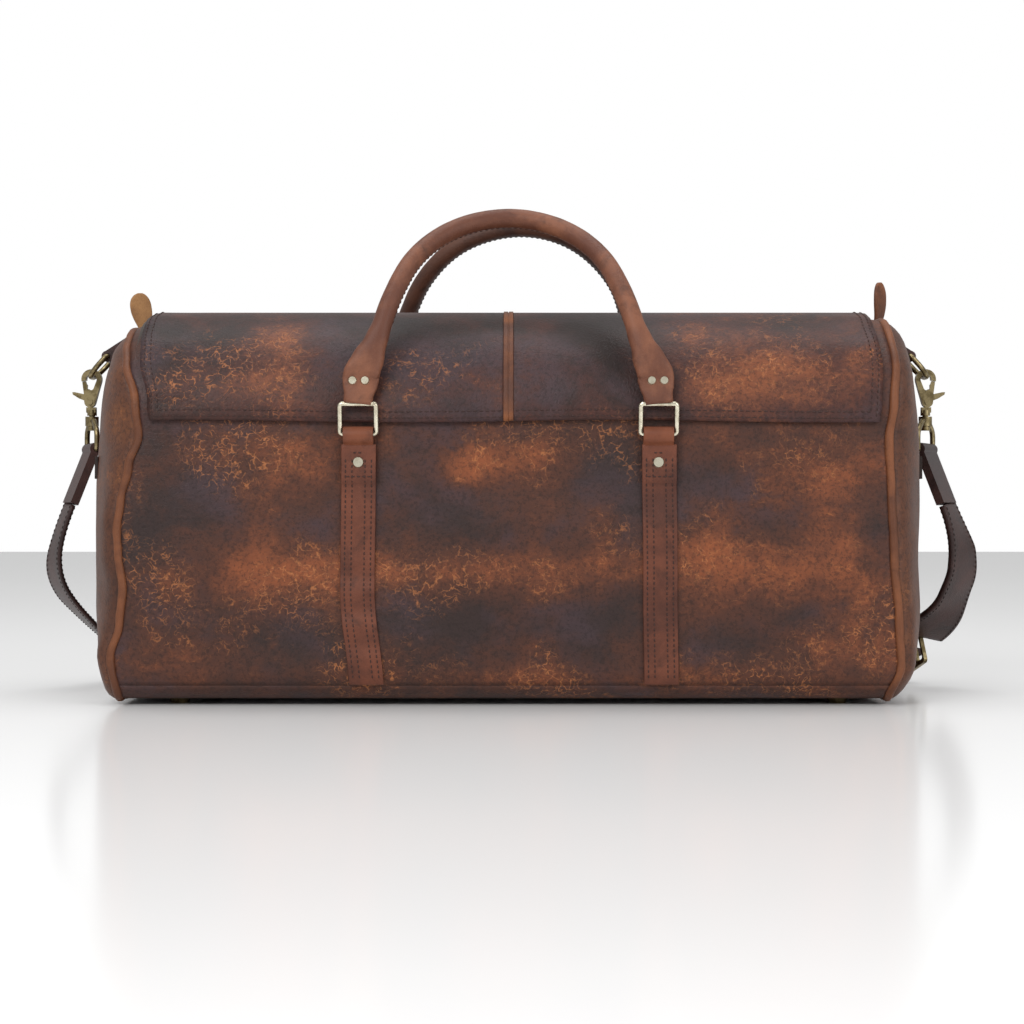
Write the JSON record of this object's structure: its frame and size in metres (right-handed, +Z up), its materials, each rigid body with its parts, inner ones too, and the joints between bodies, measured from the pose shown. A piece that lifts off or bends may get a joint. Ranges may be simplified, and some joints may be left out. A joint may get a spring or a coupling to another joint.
{
  "type": "duffel bag",
  "caption": "Long leather holdall with a storm flap over the zip, two rolled handles on rings, and a clipped shoulder strap.",
  "frame": {"origin": "on the floor under the middle of the bag, at the level of its base feet", "axes": "+X along the bag's length, -Y is the front with the flap's free edge, +Z up"},
  "size_m": [0.6879, 0.3168, 0.3654],
  "materials": {
    "leather": "waxed, mottled",
    "leather_tan": "waxed tan",
    "leather_dark": "dark oiled",
    "lining_cloth": "plain woven cotton",
    "board": "stiff sheet",
    "cord_core": "soft cotton cord",
    "zip_tape": "woven tape",
    "nickel": "pale nickel plate",
    "antique_brass": "antique, dull"
  },
  "bodies": {
    "root": {"anchor_rivets": "nickel", "back_panel": "leather", "base_board": "board", "base_feet": "antique_brass", "bottom_panel": "leather", "flap_hem": "leather", "front_left_anchor_strap": "leather", "front_panel": "leather", "front_right_anchor_strap": "leather", "front_ring_loops": "leather", "left_dring_tab": "leather_tan", "left_end_panel": "leather_tan", "left_piping": "leather_tan", "left_pocket_zip": "zip_tape", "lining": "lining_cloth", "rear_left_anchor_strap": "leather", "rear_right_anchor_strap": "leather", "rear_ring_loops": "leather", "right_dring_tab": "leather_tan", "right_end_panel": "leather_tan", "right_piping": "leather_tan", "right_pocket_zip": "zip_tape", "shoulder_strap": "leather_dark", "strap_adjuster": "leather_dark", "zip_end_left": "zip_tape", "zip_end_right": "zip_tape", "zip_tab_left": "leather_tan", "zip_tab_right": "leather_tan"},
    "flap": {"flap_left": "leather", "flap_right": "leather", "flap_seam_strip": "leather", "flap_lining": "lining_cloth"},
    "mouth_front": {"mouth_strip_front": "leather", "zip_chain_front": "zip_tape"},
    "mouth_rear": {"mouth_strip_rear": "leather", "zip_chain_rear": "zip_tape"},
    "zip_slider": {"zip_slider": "antique_brass"},
    "zip_pull": {"zip_pull": "antique_brass"},
    "front_rings": {"front_rings": "nickel"},
    "rear_rings": {"rear_rings": "nickel"},
    "front_handle": {"front_handle": "leather", "front_handle_core": "cord_core", "front_handle_rivets": "nickel"},
    "rear_handle": {"rear_handle": "leather", "rear_handle_core": "cord_core", "rear_handle_rivets": "nickel"},
    "strap_buckle": {"strap_buckle": "antique_brass"},
    "left_hanger": {"left_dring": "antique_brass", "left_swivel": "antique_brass", "left_strap_fold": "leather_dark"},
    "left_hook": {"left_hook": "antique_brass"},
    "left_trigger": {"left_trigger": "antique_brass"},
    "left_pocket_slider": {"left_pocket_slider": "antique_brass"},
    "right_hanger": {"right_dring": "antique_brass", "right_swivel": "antique_brass", "right_strap_fold": "leather_dark"},
    "right_hook": {"right_hook": "antique_brass"},
    "right_trigger": {"right_trigger": "antique_brass"},
    "right_pocket_slider": {"right_pocket_slider": "antique_brass"}
  },
  "joints": [
    {"name": "flap_lift", "type": "hinge", "parent": "root", "child": "flap", "pos_m": [0, 0.048, 0.2772], "axis": [-1, 0, 0], "range_deg": [0, 95], "deforming": ["flap_left", "flap_right", "flap_seam_strip", "flap_lining"]},
    {"name": "mouth_open", "type": "hinge", "parent": "root", "child": "mouth_front", "pos_m": [0, -0.0454, 0.2688], "axis": [-1, 0, 0], "range_deg": [0, 78]},
    {"name": "mouth_open_rear", "type": "hinge", "parent": "root", "child": "mouth_rear", "pos_m": [0, 0.0454, 0.2688], "axis": [1, 0, 0], "range_deg": [0, 78]},
    {"name": "zip_slide", "type": "slide", "parent": "root", "child": "zip_slider", "axis": [-1, 0, 0], "range_m": [0, 0.481]},
    {"name": "zip_pull_tilt", "type": "hinge", "parent": "zip_slider", "child": "zip_pull", "pos_m": [0.252, 0, 0.2712], "axis": [0, 1, 0], "range_deg": [0, 9]},
    {"name": "front_ring_swing", "type": "hinge", "parent": "root", "child": "front_rings", "pos_m": [0, -0.1313, 0.189], "axis": [1, 0, 0], "range_deg": [0, 110]},
    {"name": "front_handle_swing", "type": "hinge", "parent": "front_rings", "child": "front_handle", "pos_m": [0, -0.13567, 0.20954], "axis": [1, 0, 0], "range_deg": [0, 60]},
    {"name": "rear_ring_swing", "type": "hinge", "parent": "root", "child": "rear_rings", "pos_m": [0, 0.1313, 0.189], "axis": [-1, 0, 0], "range_deg": [0, 110]},
    {"name": "rear_handle_swing", "type": "hinge", "parent": "rear_rings", "child": "rear_handle", "pos_m": [0, 0.13567, 0.20954], "axis": [-1, 0, 0], "range_deg": [0, 60]},
    {"name": "left_dring_swing", "type": "hinge", "parent": "root", "child": "left_hanger", "pos_m": [-0.299, 0, 0.251], "axis": [0, 1, 0], "range_deg": [0, 25], "deforming": ["shoulder_strap"]},
    {"name": "left_hook_turn", "type": "hinge", "parent": "left_hanger", "child": "left_hook", "pos_m": [-0.3124, 0, 0.203], "axis": [0, 0, 1], "range_deg": [-15, 15]},
    {"name": "left_trigger_press", "type": "hinge", "parent": "left_hook", "child": "left_trigger", "pos_m": [-0.3136, 0, 0.2174], "axis": [0, 1, 0], "range_deg": [0, 18], "stiffness_Nm_per_rad": 0.02, "springref_deg": -11.46},
    {"name": "left_pocket_slide", "type": "slide", "parent": "root", "child": "left_pocket_slider", "axis": [0, -1, 0], "range_m": [0, 0.122]},
    {"name": "right_dring_swing", "type": "hinge", "parent": "root", "child": "right_hanger", "pos_m": [0.299, 0, 0.251], "axis": [0, -1, 0], "range_deg": [0, 25], "deforming": ["strap_adjuster"]},
    {"name": "right_hook_turn", "type": "hinge", "parent": "right_hanger", "child": "right_hook", "pos_m": [0.3124, 0, 0.203], "axis": [0, 0, 1], "range_deg": [-15, 15]},
    {"name": "right_trigger_press", "type": "hinge", "parent": "right_hook", "child": "right_trigger", "pos_m": [0.3136, 0, 0.2174], "axis": [0, -1, 0], "range_deg": [0, 18], "stiffness_Nm_per_rad": 0.02, "springref_deg": -11.46},
    {"name": "right_pocket_slide", "type": "slide", "parent": "root", "child": "right_pocket_slider", "axis": [0, -1, 0], "range_m": [0, 0.122]},
    {"name": "buckle_slide", "type": "slide", "parent": "root", "child": "strap_buckle", "axis": [0.3091, -0.8692, 0.3861], "range_m": [-0.01, 0.01]}
  ],
  "couplings": [
    {"joint": "mouth_open_rear", "follows": "mouth_open", "ratio": 1}
  ]
}
